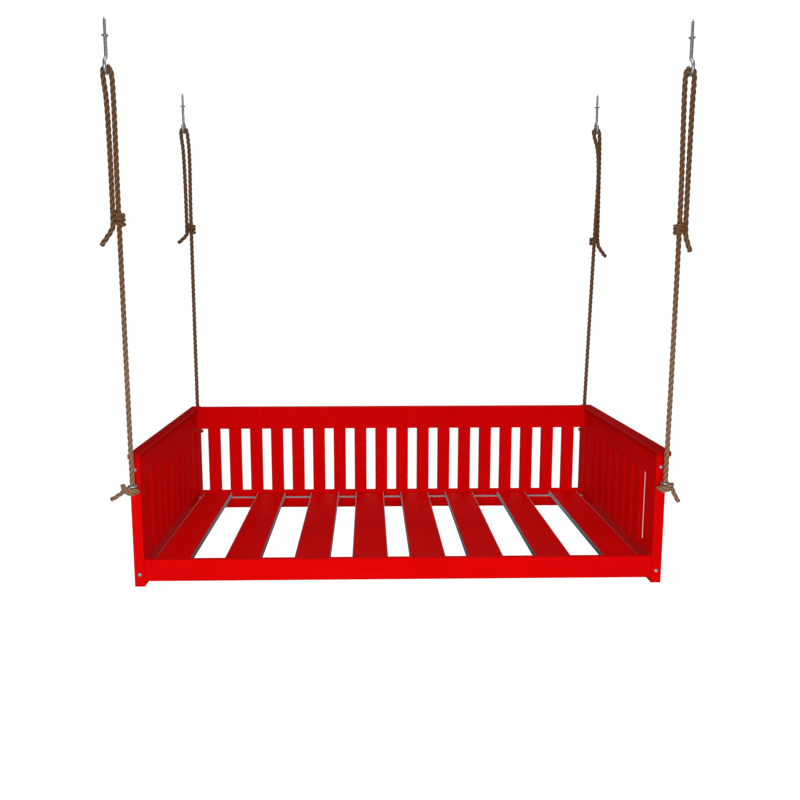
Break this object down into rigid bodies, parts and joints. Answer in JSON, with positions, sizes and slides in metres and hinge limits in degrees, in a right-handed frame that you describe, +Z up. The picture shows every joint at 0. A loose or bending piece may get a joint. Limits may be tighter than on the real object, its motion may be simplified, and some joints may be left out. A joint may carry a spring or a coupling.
{
  "type": "porch swing",
  "caption": "Day-bed size porch swing of painted boards, with a slatted back and slatted sides under flat arms, hung by knotted ropes through screw eyes from ceiling hooks",
  "frame": {"origin": "the ceiling plane, in the middle of the rectangle of the four hook shanks", "axes": "+X to the right of someone looking at the open front, +Y towards the back, +Z up along the hook shanks"},
  "size_m": [2.1523, 1.2512, 2.0412],
  "materials": {
    "red_paint": "satin exterior paint over softwood boards",
    "zinc_steel": "zinc plated, slightly dull",
    "manila_rope": "three-strand natural fibre, matt"
  },
  "bodies": {
    "hooks": {"ceiling_hook_front_left": "zinc_steel", "ceiling_hook_front_right": "zinc_steel", "ceiling_hook_rear_left": "zinc_steel", "ceiling_hook_rear_right": "zinc_steel"},
    "rope_front_left_body": {"rope_front_left": "manila_rope", "stopper_knot_front_left": "manila_rope", "hitch_knot_front_left": "manila_rope"},
    "rope_front_right_body": {"rope_front_right": "manila_rope", "stopper_knot_front_right": "manila_rope", "hitch_knot_front_right": "manila_rope"},
    "rope_rear_left_body": {"rope_rear_left": "manila_rope", "stopper_knot_rear_left": "manila_rope", "hitch_knot_rear_left": "manila_rope"},
    "rope_rear_right_body": {"rope_rear_right": "manila_rope", "stopper_knot_rear_right": "manila_rope", "hitch_knot_rear_right": "manila_rope"},
    "bed": {"front_post_left": "red_paint", "front_post_right": "red_paint", "rear_post_left": "red_paint", "rear_post_right": "red_paint", "arm_left": "red_paint", "arm_right": "red_paint", "side_top_rail_left": "red_paint", "side_top_rail_right": "red_paint", "side_bottom_rail_left": "red_paint", "side_bottom_rail_right": "red_paint", "side_slats_left": "red_paint", "side_slats_right": "red_paint", "back_top_rail": "red_paint", "back_bottom_rail": "red_paint", "back_slats": "red_paint", "front_rail": "red_paint", "front_cleat": "red_paint", "rear_ledger": "red_paint", "seat_board_1": "red_paint", "seat_board_2": "red_paint", "seat_board_3": "red_paint", "seat_board_4": "red_paint", "seat_board_5": "red_paint", "seat_board_6": "red_paint", "seat_board_7": "red_paint", "seat_board_8": "red_paint", "carriage_bolts": "zinc_steel", "screw_eye_front_left": "zinc_steel", "screw_eye_front_right": "zinc_steel", "screw_eye_rear_left": "zinc_steel", "screw_eye_rear_right": "zinc_steel"}
  },
  "joints": [
    {"name": "front_left_rope_swing", "type": "hinge", "parent": "hooks", "child": "rope_front_left_body", "pos_m": [-1.00711, -0.59563, -0.09998], "axis": [1, 0, 0], "range_deg": [-7, 7]},
    {"name": "front_right_rope_swing", "type": "hinge", "parent": "hooks", "child": "rope_front_right_body", "pos_m": [1.00711, -0.59563, -0.09998], "axis": [1, 0, 0], "range_deg": [-7, 7]},
    {"name": "rear_left_rope_swing", "type": "hinge", "parent": "hooks", "child": "rope_rear_left_body", "pos_m": [-1.00711, 0.59563, -0.09998], "axis": [1, 0, 0], "range_deg": [-7, 7]},
    {"name": "rear_right_rope_swing", "type": "hinge", "parent": "hooks", "child": "rope_rear_right_body", "pos_m": [1.00711, 0.59563, -0.09998], "axis": [1, 0, 0], "range_deg": [-7, 7]},
    {"name": "bed_level", "type": "hinge", "parent": "rope_front_left_body", "child": "bed", "pos_m": [-0.98806, -0.59563, -1.58115], "axis": [1, 0, 0], "range_deg": [-7, 7]}
  ],
  "couplings": [
    {"joint": "front_right_rope_swing", "follows": "front_left_rope_swing", "ratio": 1},
    {"joint": "rear_left_rope_swing", "follows": "front_left_rope_swing", "ratio": 1},
    {"joint": "rear_right_rope_swing", "follows": "front_left_rope_swing", "ratio": 1},
    {"joint": "bed_level", "follows": "front_left_rope_swing", "ratio": -1}
  ]
}
